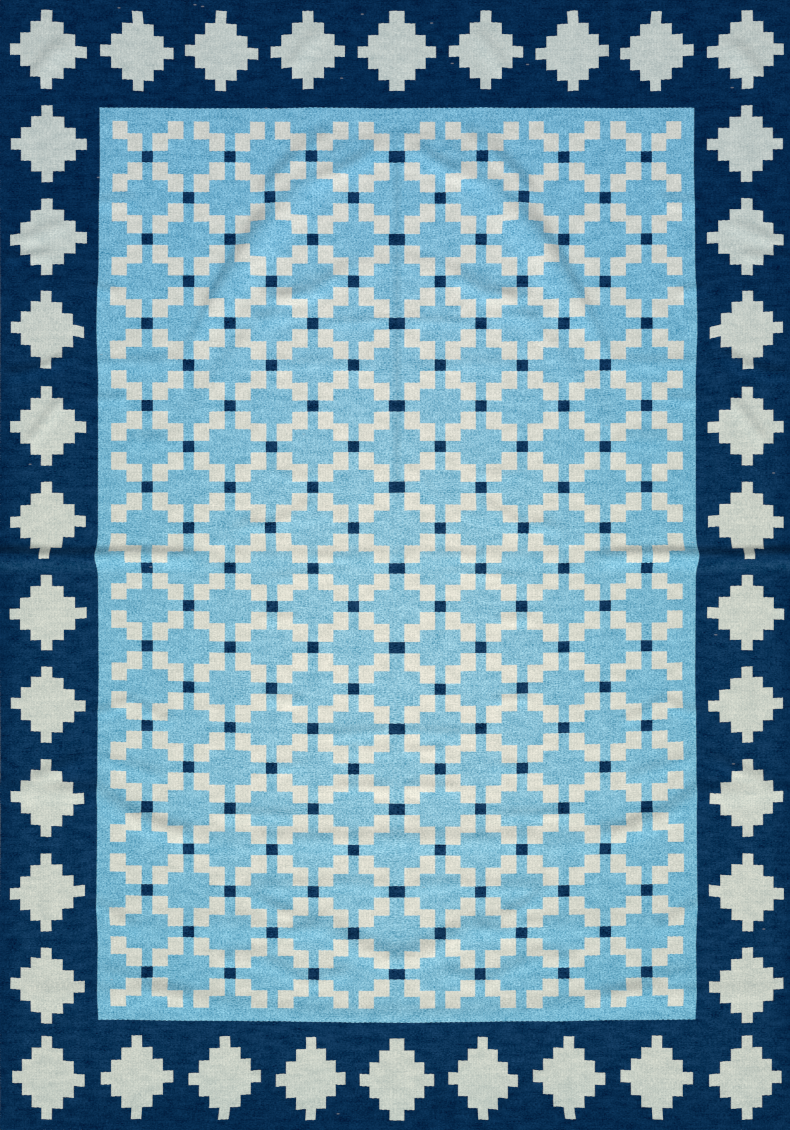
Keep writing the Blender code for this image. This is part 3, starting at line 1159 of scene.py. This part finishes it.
@dataclass(frozen=True)
class PalingAndWarmLight:
    """Finds where the dyes are paler: the field in its middle, the border towards the foot.

    Towards the foot, all the yarns also take a warm tint, which is painted warm light.
    """

    half_across: float = 0.54
    half_along: float = 0.90
    middle_along: float = -0.12
    # The shares of these half sizes between which the field goes from its palest to its full colour.
    fade_reach: tuple[float, float] = (0.15, 1.15)
    mottle: float = 0.30
    mottle_scale: float = 3.5
    # The border keeps its full colour at the head, and at the rug's rim.
    border_fresh_along: float = 0.80
    border_faded_along: float = -0.05
    rim_fresh: float = 0.75
    rim_width: float = 0.20
    # How many times narrower the sides' rim is than the ends'.
    side_narrowing: float = 3.3
    rim_across: float = 0.699
    rim_along: float = 1.0025
    border_mottle: float = 0.9

    def build(self) -> bpy.types.ShaderNodeTree:
        """Builds the group, whose outputs go from 0 on full dye to about 1 on pale dye and full warm
        tint.
        """
        number = SocketKind.NUMBER
        group = EffectGroup(
            "paling_and_warm_light",
            {"Across": number, "Along": number},
            {"Faded": number, "Border Faded": number, "Yellowed": number},
        )
        bench, taken = group.bench, group.taken
        across = taken["Across"] / self.half_across
        along = (taken["Along"] - self.middle_along) / self.half_along
        reach = bench.math("SQRT", across * across + along * along)
        cloud = bench.cloud(
            abs(taken["Across"]) * self.mottle_scale, taken["Along"] * self.mottle_scale, 2.0
        )
        reach = reach + (cloud - 0.5) * self.mottle
        off_side = (self.rim_across - abs(taken["Across"])) * self.side_narrowing
        off_rim = bench.math("MINIMUM", off_side, self.rim_along - abs(taken["Along"]))
        at_rim = 1.0 - bench.smooth(off_rim, 0.0, self.rim_width)
        # The painted warm light, and the border's paling, grow towards the foot.
        to_foot = 1.0 - bench.smooth(
            taken["Along"], self.border_faded_along, self.border_fresh_along
        )
        border_paling = to_foot * (1.0 - at_rim * self.rim_fresh) + (cloud - 0.5) * self.border_mottle
        return group.give(
            Faded=1.0 - bench.smooth(reach, *self.fade_reach),
            Border_Faded=bench.smooth(border_paling, 0.0, 1.0),
            Yellowed=to_foot,
        )


@dataclass(frozen=True)
class FoldLightAndShade:
    """Finds the painted shade along sharp folds, and a painted highlight on the middle crease's lit
    slope.
    """

    # Painted shade along the fold down the middle, and along the head's folds, which the key light
    # falls along.
    seam_half_width: float = 0.008
    seam_low: tuple[float, float] = (0.10, 0.18)
    seam_high: tuple[float, float] = (0.70, 0.77)
    head_fold_across: float = 0.370
    head_fold_half_width: float = 0.008
    head_fold_low: tuple[float, float] = (0.78, 0.88)
    # A painted highlight on the navy border, on the lit slope just footwards of the middle crease's
    # crest.
    highlight_along: float = 0.001
    highlight_half_width: float = 0.017

    def build(self) -> bpy.types.ShaderNodeTree:
        """Builds the group."""
        number = SocketKind.NUMBER
        group = EffectGroup(
            "fold_light_and_shade", {"Across": number, "Along": number}, {"Soiled": number, "Rubbed": number}
        )
        bench, along, side = group.bench, group.taken["Along"], abs(group.taken["Across"])
        seam = 1.0 - bench.smooth(side, 0.0, self.seam_half_width)
        seam = seam * bench.smooth(along, *self.seam_low)
        seam = seam * (1.0 - bench.smooth(along, *self.seam_high))
        off_fold = abs(side - self.head_fold_across)
        head_fold = 1.0 - bench.smooth(off_fold, 0.0, self.head_fold_half_width)
        head_fold = head_fold * bench.smooth(along, *self.head_fold_low)
        off_crest = abs(along - self.highlight_along)
        return group.give(
            Soiled=seam + head_fold,
            Rubbed=1.0 - bench.smooth(off_crest, 0.0, self.highlight_half_width),
        )


# ======================================================================= finishes
class Yarn(Enum):
    """The yarns of the rug, by their dye and where they are woven."""

    BORDER_NAVY = "border navy"
    BORDER_CREAM = "border cream"
    FIELD_BLUE = "field blue"
    FIELD_CREAM = "field cream"
    FIELD_NAVY = "field navy"


@dataclass(frozen=True)
class YarnFinish:
    """A yarn's dye, fresh and faded, and how far its tone strays from it.

    Spread is by bead, by fibre and by pick. Contrast is each channel's share of the straying: where
    a dye has taken badly, its weakest channel changes most.
    """

    fresh: Colour
    faded: Colour
    spread: Colour
    contrast: Colour


YARN_FINISHES = {
    Yarn.BORDER_NAVY: YarnFinish(
        (0.0010, 0.0237, 0.0840), (0.0027, 0.0345, 0.108), (0.20, 0.80, 0.58), (3.6, 1.0, 0.72)
    ),
    Yarn.BORDER_CREAM: YarnFinish(
        (0.545, 0.617, 0.606), (0.598, 0.645, 0.618), (0.05, 0.26, 0.13), (1.25, 1.0, 0.90)
    ),
    Yarn.FIELD_BLUE: YarnFinish(
        (0.175, 0.463, 0.672), (0.256, 0.534, 0.720), (0.14, 0.68, 0.22), (1.75, 1.0, 0.75)
    ),
    Yarn.FIELD_CREAM: YarnFinish(
        (0.645, 0.670, 0.636), (0.735, 0.730, 0.683), (0.05, 0.26, 0.13), (1.15, 1.0, 1.0)
    ),
    Yarn.FIELD_NAVY: YarnFinish(
        (0.0028, 0.030, 0.099), (0.0052, 0.038, 0.110), (0.25, 1.40, 0.70), (2.6, 1.0, 0.75)
    ),
}
BORDER_YARNS = (Yarn.BORDER_NAVY, Yarn.BORDER_CREAM)


@dataclass(frozen=True)
class FlatweaveFinish:
    """The cloth's finish: matt yarn, woven to the chart."""

    chart: LoomChart
    name: str = "flatweave"
    roughness: float = 0.92
    roughness_spread: float = 0.06
    specular: float = 0.01
    sheen: float = 0.01
    sheen_roughness: float = 0.5
    relief_height: float = 0.00030
    groove_shade: float = 0.05
    lint_share: float = 0.9999
    lint_strength: float = 0.35
    lint: Colour = (0.42, 0.45, 0.46)
    # The warm tint of painted light towards the foot end.
    painted_warm_light: Colour = (1.0, 0.995, 0.935)
    # How dark the painted shade along the folds is.
    crease_shade: float = 0.12
    # How strong the painted highlight on the navy border is, and its colour.
    highlight_share: float = 0.8
    painted_highlight_navy: Colour = (0.0062, 0.049, 0.128)
    # Keeps a diamond's draws for its lean and bow apart from those for its size.
    draws_apart: float = 20.0

    def diamonds(self, bench: Bench, ribs: Signal, along: Signal) -> Signal:
        """Draws the border's diamonds.

        Args:
            bench: the material's bench.
            ribs: the bead's place across the chart, in ribs.
            along: the bead's place along the chart.

        Returns:
            A mask that is 1 on the diamonds.
        """
        chart, side = self.chart, abs(ribs)
        row = (along / chart.diamond_along).floor()
        column = (side / chart.diamond_ribs).nearest()
        in_end = abs(along).above(chart.end_row_along - chart.diamond_along / 2)
        off_across = side - bench.mix(in_end, chart.column_ribs, column * chart.diamond_ribs)
        off_along = bench.mix(
            in_end,
            along - (row + 0.5) * chart.diamond_along,
            abs(along) - chart.end_row_along,
        )
        end_step = bench.mix(along.above(0.0), chart.foot_step_along, chart.head_step_along)
        step_along = bench.mix(in_end, chart.side_step_along, end_step)
        in_foot = along.below(chart.diamond_along / 2 - chart.end_row_along)
        step_across = bench.mix(in_foot, chart.step_ribs, chart.foot_step_ribs)
        side_row, end_column = row + 0.5, column + self.draws_apart
        slant = (bench.dice(side_row, end_column) - 0.5) * (2.0 * chart.step_lean)
        bow = (bench.dice(end_column, side_row) - 0.5) * (2.0 * chart.step_bow)
        off_along = off_along + off_across * slant + abs(off_across) * bow
        widening = (bench.dice(column, row) - 0.5) * (2.0 * chart.step_spread) + 1.0
        lengthening = (bench.dice(row, column) - 0.5) * chart.step_spread + 1.0
        return bench.use(
            SteppedDiamond().build(),
            Off_Across=off_across,
            Off_Along=off_along,
            Steps=chart.steps,
            Step_Across=widening * step_across,
            Step_Along=step_along * lengthening,
        )["Mask"]

    def choose(self, bench: Bench, masks: dict[Yarn, Signal], values: dict[Yarn, object]) -> Signal:
        """Lays the yarns' values over each other, each where its mask is 1.

        Args:
            bench: the material's bench.
            masks: the mask of each yarn but the ground.
            values: a colour for each yarn.

        Returns:
            The colour that is on top.
        """
        chosen = values[Yarn.BORDER_NAVY]
        for yarn, mask in masks.items():
            chosen = bench.mix_colour(mask, chosen, values[yarn])
        return chosen

    def weave(
        self, bench: Bench, across: Signal, along: Signal
    ) -> tuple[Signal, dict[str, Signal]]:
        """Weaves the pattern.

        Args:
            bench: the material's bench.
            across: the place across the chart.
            along: the place along the chart.

        Returns:
            The yarn's colour, and the outputs that say which bead this is.
        """
        chart = self.chart
        beads = bench.use(
            WovenBeads().build(), Across=across, Along=along, Rib=chart.rib, Bead=chart.bead
        )
        ribs, beaten = beads["Ribs"], beads["Beaten Along"]
        in_field = abs(ribs).below(chart.field_ribs) * abs(beaten).below(chart.field_along)
        lattice = bench.use(DiagonalLattice(chart).build(), Ribs=ribs, Along=beaten)
        masks = {
            Yarn.BORDER_CREAM: self.diamonds(bench, ribs, beaten),
            Yarn.FIELD_BLUE: in_field,
            Yarn.FIELD_CREAM: lattice["Stair"],
            Yarn.FIELD_NAVY: lattice["Knot"],
        }
        paleness_and_warmth = bench.use(PalingAndWarmLight().build(), Across=across, Along=along)
        dyes = {
            yarn: bench.mix_colour(
                paleness_and_warmth["Border Faded" if yarn in BORDER_YARNS else "Faded"],
                finish.fresh,
                finish.faded,
            )
            for yarn, finish in YARN_FINISHES.items()
        }
        painted_fold_light = bench.use(FoldLightAndShade().build(), Across=across, Along=along)
        # Painted highlight: the navy border is lighter on the lit slope of the middle crease.
        dyes[Yarn.BORDER_NAVY] = bench.mix_colour(
            painted_fold_light["Rubbed"] * self.highlight_share, dyes[Yarn.BORDER_NAVY], self.painted_highlight_navy
        )
        spreads = {yarn: finish.spread for yarn, finish in YARN_FINISHES.items()}
        contrasts = {yarn: finish.contrast for yarn, finish in YARN_FINISHES.items()}
        toned = bench.use(
            YarnTone().build(),
            Colour=self.choose(bench, masks, dyes),
            Spread=self.choose(bench, masks, spreads),
            Contrast=self.choose(bench, masks, contrasts),
            Rib_Number=beads["Rib Number"],
            Bead_Number=beads["Bead Number"],
            Rib_Phase=beads["Rib Phase"],
            Across=across,
            Along=along,
        )["Colour"]
        # Painted warm light: every yarn takes a warm tint towards the foot end.
        warm_light_tint = bench.mix_colour(paleness_and_warmth["Yellowed"], (1.0, 1.0, 1.0), self.painted_warm_light)
        toned = bench.mix_colour(1.0, toned, warm_light_tint, "MULTIPLY")
        # Painted shade: the yarns are darker along the sharp folds.
        crease_shading = 1.0 - painted_fold_light["Soiled"] * self.crease_shade
        toned = bench.mix_colour(1.0, toned, bench.join(crease_shading, crease_shading, crease_shading), "MULTIPLY")
        return toned, beads

    def build(self) -> bpy.types.Material:
        """Builds the material."""
        material = bpy.data.materials.new(self.name)
        material.use_nodes = True
        bench = Bench(material.node_tree)
        shader = material.node_tree.nodes["Principled BSDF"]
        map_node = bench.node("ShaderNodeUVMap", uv_map="LoomChart")
        split = bench.node("ShaderNodeSeparateXYZ")
        bench.feed(split.inputs[0], Signal(bench, map_node.outputs[0]))
        across, along = Signal(bench, split.outputs[0]), Signal(bench, split.outputs[1])
        colour, beads = self.weave(bench, across, along)
        relief = bench.use(
            WeaveRelief().build(),
            Rib_Phase=beads["Rib Phase"],
            Bead_Phase=beads["Bead Phase"],
            Across=across,
            Along=along,
        )
        shade = 1.0 - relief["Groove"] * self.groove_shade
        colour = bench.mix_colour(1.0, colour, bench.join(shade, shade, shade), "MULTIPLY")
        lint = bench.dice(beads["Bead Number"], beads["Rib Number"]).above(self.lint_share)
        colour = bench.mix_colour(lint * self.lint_strength, colour, self.lint)
        bench.feed(shader.inputs["Base Color"], colour)
        rough = relief["Height"] * -self.roughness_spread + self.roughness
        bench.feed(shader.inputs["Roughness"], rough)
        bump = bench.node("ShaderNodeBump")
        bench.feed(bump.inputs["Strength"], 1.0)
        bench.feed(bump.inputs["Distance"], self.relief_height)
        bench.feed(bump.inputs["Height"], relief["Height"])
        bench.feed(shader.inputs["Normal"], Signal(bench, bump.outputs[0]))
        shader.inputs["Metallic"].default_value = 0.0
        shader.inputs["Specular IOR Level"].default_value = self.specular
        shader.inputs["Sheen Weight"].default_value = self.sheen
        shader.inputs["Sheen Roughness"].default_value = self.sheen_roughness
        return material


@dataclass(frozen=True)
class FloorFinish:
    """The studio floor's finish: pale and matt, faintly mottled."""

    name: str = "studio_floor"
    light: Colour = (0.80, 0.795, 0.78)
    dark: Colour = (0.765, 0.76, 0.745)
    mottle_scale: float = 0.9
    roughness: float = 0.7

    def build(self) -> bpy.types.Material:
        """Builds the material."""
        material = bpy.data.materials.new(self.name)
        material.use_nodes = True
        bench = Bench(material.node_tree)
        shader = material.node_tree.nodes["Principled BSDF"]
        place = bench.node("ShaderNodeTexCoord")
        cloud = bench.node("ShaderNodeTexNoise")
        bench.feed(cloud.inputs["Vector"], Signal(bench, place.outputs["Object"]))
        bench.feed(cloud.inputs["Scale"], self.mottle_scale)
        mottle = Signal(bench, cloud.outputs[0])
        bench.feed(shader.inputs["Base Color"], bench.mix_colour(mottle, self.dark, self.light))
        shader.inputs["Roughness"].default_value = self.roughness
        return material


# ======================================================================= studio
@dataclass(frozen=True)
class Studio:
    """The floor, the lights and the camera over the rug."""

    floor_size: float = 120.0
    floor_gap: float = 0.0004
    # The camera looks straight down on this height of rug, from the middle of the view.
    view_height: float = 1.995
    view_centre: tuple[float, float] = (-0.00335, -0.00265)
    cloth_top: float = 0.0045
    lens: float = 50.0
    film: float = 36.0
    sun_elevation: float = 40.0
    sun_softness: float = 28.0
    sun_strength: float = 2.24
    sun_colour: Colour = (1.0, 0.985, 0.96)
    panel_height: float = 2.6
    panel_along: float = -0.26
    panel_size: float = 1.6
    panel_power: float = 26.6
    panel_colour: Colour = (1.0, 0.995, 0.985)
    sky_strength: float = 0.256
    sky_colour: Colour = (0.96, 0.98, 1.0)
    pixel_filter: float = 1.2

    def lay_floor(self) -> None:
        """Lays the floor just under the rug."""
        half = self.floor_size / 2
        corners = [(-half, -half, 0.0), (half, -half, 0.0), (half, half, 0.0), (-half, half, 0.0)]
        mesh = bpy.data.meshes.new("studio_floor")
        mesh.from_pydata(corners, [], [(0, 1, 2, 3)])
        mesh.materials.append(FloorFinish().build())
        floor = bpy.data.objects.new("studio_floor", mesh)
        floor.location.z = -self.floor_gap
        bpy.context.scene.collection.objects.link(floor)

    def hang_lights(self) -> None:
        """Hangs a soft key light towards the foot end, and a panel over the rug's middle."""
        sun = bpy.data.lights.new("key_light", "SUN")
        sun.energy = self.sun_strength
        sun.angle = math.radians(self.sun_softness)
        sun.color = self.sun_colour
        key = bpy.data.objects.new("key_light", sun)
        key.rotation_euler = (math.radians(90.0 - self.sun_elevation), 0.0, 0.0)
        panel_light = bpy.data.lights.new("top_panel", "AREA")
        panel_light.energy = self.panel_power
        panel_light.size = self.panel_size
        panel_light.color = self.panel_colour
        panel = bpy.data.objects.new("top_panel", panel_light)
        panel.location = (0.0, self.panel_along, self.panel_height)
        panel.visible_camera = False
        for light in (key, panel):
            bpy.context.scene.collection.objects.link(light)

    def light_sky(self) -> None:
        """Fills the shadows with an even, faintly cool light from all round."""
        world = bpy.data.worlds.new("studio_sky")
        world.use_nodes = True
        background = world.node_tree.nodes["Background"]
        background.inputs["Color"].default_value = (*self.sky_colour, 1.0)
        background.inputs["Strength"].default_value = self.sky_strength
        bpy.context.scene.world = world

    def set_camera(self) -> None:
        """Hangs the camera straight over the rug."""
        camera = bpy.data.cameras.new("overhead_camera")
        camera.lens = self.lens
        camera.sensor_width = self.film
        eye = bpy.data.objects.new("overhead_camera", camera)
        height = self.cloth_top + self.view_height * self.lens / self.film
        eye.location = (*self.view_centre, height)
        bpy.context.scene.collection.objects.link(eye)
        bpy.context.scene.camera = eye

    def build(self) -> None:
        """Sets up the whole studio."""
        self.lay_floor()
        self.hang_lights()
        self.light_sky()
        self.set_camera()
        bpy.context.scene.view_settings.view_transform = "Standard"
        bpy.context.scene.cycles.filter_width = self.pixel_filter


def main() -> None:
    """Builds the rug and its studio."""
    logging.basicConfig(level=logging.INFO, format="%(name)s: %(message)s")
    outline, chart = Outline.from_frame(), LoomChart()
    Studio().build()
    cloth = DhurrieCloth(WeaversHand(outline, chart), ClothRelief()).build(
        FlatweaveFinish(chart).build()
    )
    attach(cloth, "root")
    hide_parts(CLOTH_NODE)
    points, faces = len(cloth.data.vertices), len(cloth.data.polygons)
    LOG.info("%s: %d points, %d faces", cloth.name, points, faces)


if __name__ == "__main__":
    main()
